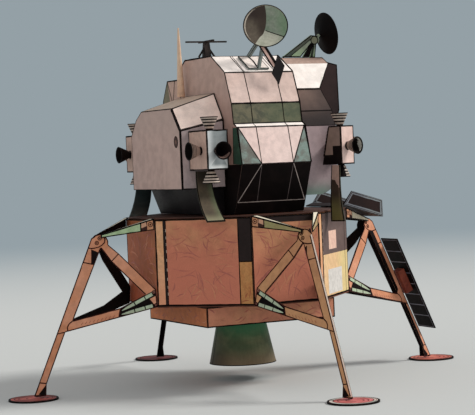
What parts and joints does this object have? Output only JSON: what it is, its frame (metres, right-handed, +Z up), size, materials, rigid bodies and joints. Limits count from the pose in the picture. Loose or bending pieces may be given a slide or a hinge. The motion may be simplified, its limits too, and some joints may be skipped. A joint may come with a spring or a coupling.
{
  "type": "folded card scale model of a two-stage lunar lander",
  "caption": "Printed and folded card model of a crewed lunar lander: faceted ascent stage over an octagonal descent stage on splayed legs with round footpads.",
  "frame": {"origin": "on the floor under the vertical axis of the descent stage", "axes": "+Z up, the window face of the ascent stage towards -Y, the ladder leg on +X"},
  "size_m": [0.1938, 0.1938, 0.1453],
  "materials": {
    "foil_card": "printed card, matt",
    "deck_card": "printed card, matt",
    "skirt_card": "printed card, matt",
    "bell_card": "printed card, matt",
    "leg_card": "printed card, matt",
    "outrigger_card": "printed card, matt",
    "pad_card": "printed card, matt",
    "black_card": "printed card, matt",
    "cabin_card": "printed card, matt",
    "black_base_card": "printed card, matt",
    "cheek_card": "printed card, matt",
    "right_cheek_card": "printed card, matt",
    "midsection_card": "printed card, matt",
    "tank_bay_card": "printed card, matt",
    "quad_card": "printed card, matt",
    "deflector_card": "printed card, matt",
    "pole_card": "printed card, matt",
    "dish_card": "printed card, matt",
    "dish_back_card": "printed card, matt"
  },
  "bodies": {
    "descent_stage": {"descent_walls": "foil_card", "descent_deck": "deck_card", "descent_floor": "skirt_card", "skirt_box": "skirt_card", "engine_bell": "bell_card", "leg_truss_front": "leg_card", "outrigger_front_a": "outrigger_card", "outrigger_front_b": "outrigger_card", "footpad_front": "pad_card", "leg_truss_left": "leg_card", "outrigger_left_a": "outrigger_card", "outrigger_left_b": "outrigger_card", "footpad_left": "pad_card", "leg_truss_rear": "leg_card", "outrigger_rear_a": "outrigger_card", "outrigger_rear_b": "outrigger_card", "footpad_rear": "pad_card", "leg_truss_right": "leg_card", "outrigger_right_a": "outrigger_card", "outrigger_right_b": "outrigger_card", "footpad_right": "pad_card", "porch": "black_card", "ladder": "black_card", "ladder_bracket": "leg_card"},
    "ascent_stage": {"cabin": "cabin_card", "ascent_base": "black_base_card", "cheek_left": "cheek_card", "cheek_right": "right_cheek_card", "midsection_right": "midsection_card", "tank_bay_right": "tank_bay_card", "rear_bay": "cheek_card", "thruster_quad_front_left": "quad_card", "plume_deflector_front_left": "deflector_card", "thruster_quad_rear_left": "quad_card", "plume_deflector_rear_left": "deflector_card", "thruster_quad_front_right": "quad_card", "plume_deflector_front_right": "deflector_card", "thruster_quad_rear_right": "quad_card", "plume_deflector_rear_right": "deflector_card", "pole_antenna": "pole_card", "cross_antenna": "dish_back_card", "radar_dish": "dish_card", "radar_stand": "midsection_card", "radar_brace": "dish_back_card", "steerable_dish": "dish_back_card", "steerable_mount": "dish_card"}
  },
  "joints": [
    {"name": "ascent_lift", "type": "slide", "parent": "descent_stage", "child": "ascent_stage", "axis": [0, 0, 1], "range_m": [0, 0.03]}
  ]
}
